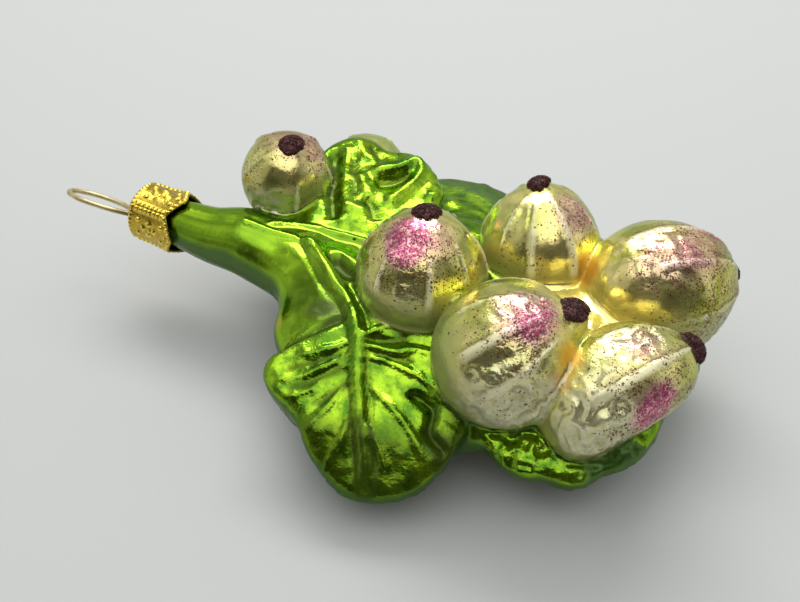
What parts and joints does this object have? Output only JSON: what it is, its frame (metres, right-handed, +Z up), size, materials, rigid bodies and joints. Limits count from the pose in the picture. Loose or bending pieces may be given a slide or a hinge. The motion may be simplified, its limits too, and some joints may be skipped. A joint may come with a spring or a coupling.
{
  "type": "blown glass gooseberry sprig tree ornament",
  "caption": "Hollow blown-glass tree ornament shaped as a gooseberry sprig with leaves, a crown cap and a wire hanging loop, lying on its back",
  "frame": {"origin": "on the table, under the middle of the part's box as it lies on its back", "axes": "+X from the hanging loop to the fruit end, +Y across to the side of the single berries, +Z up"},
  "size_m": [0.124, 0.0802, 0.0371],
  "materials": {
    "lacquered_glass": "silvered inside, translucent green and cream lacquer over it, glossy, with pearly and speckled patches on the berries",
    "gilt_brass": "pressed thin sheet, bright gilt, beaded",
    "brassed_wire": "drawn wire, slightly dull",
    "maroon_glitter": "glue dab strewn with fine dark maroon glitter"
  },
  "bodies": {
    "root": {"glass_body": "lacquered_glass", "crown_cap": "gilt_brass", "hanger_wire": "brassed_wire", "dab_a": "maroon_glitter", "dab_b": "maroon_glitter", "dab_c": "maroon_glitter", "dab_d": "maroon_glitter", "dab_e": "maroon_glitter", "dab_f": "maroon_glitter", "dab_g": "maroon_glitter", "dab_p": "maroon_glitter", "dab_q": "maroon_glitter", "dab_r": "maroon_glitter"}
  },
  "joints": []
}
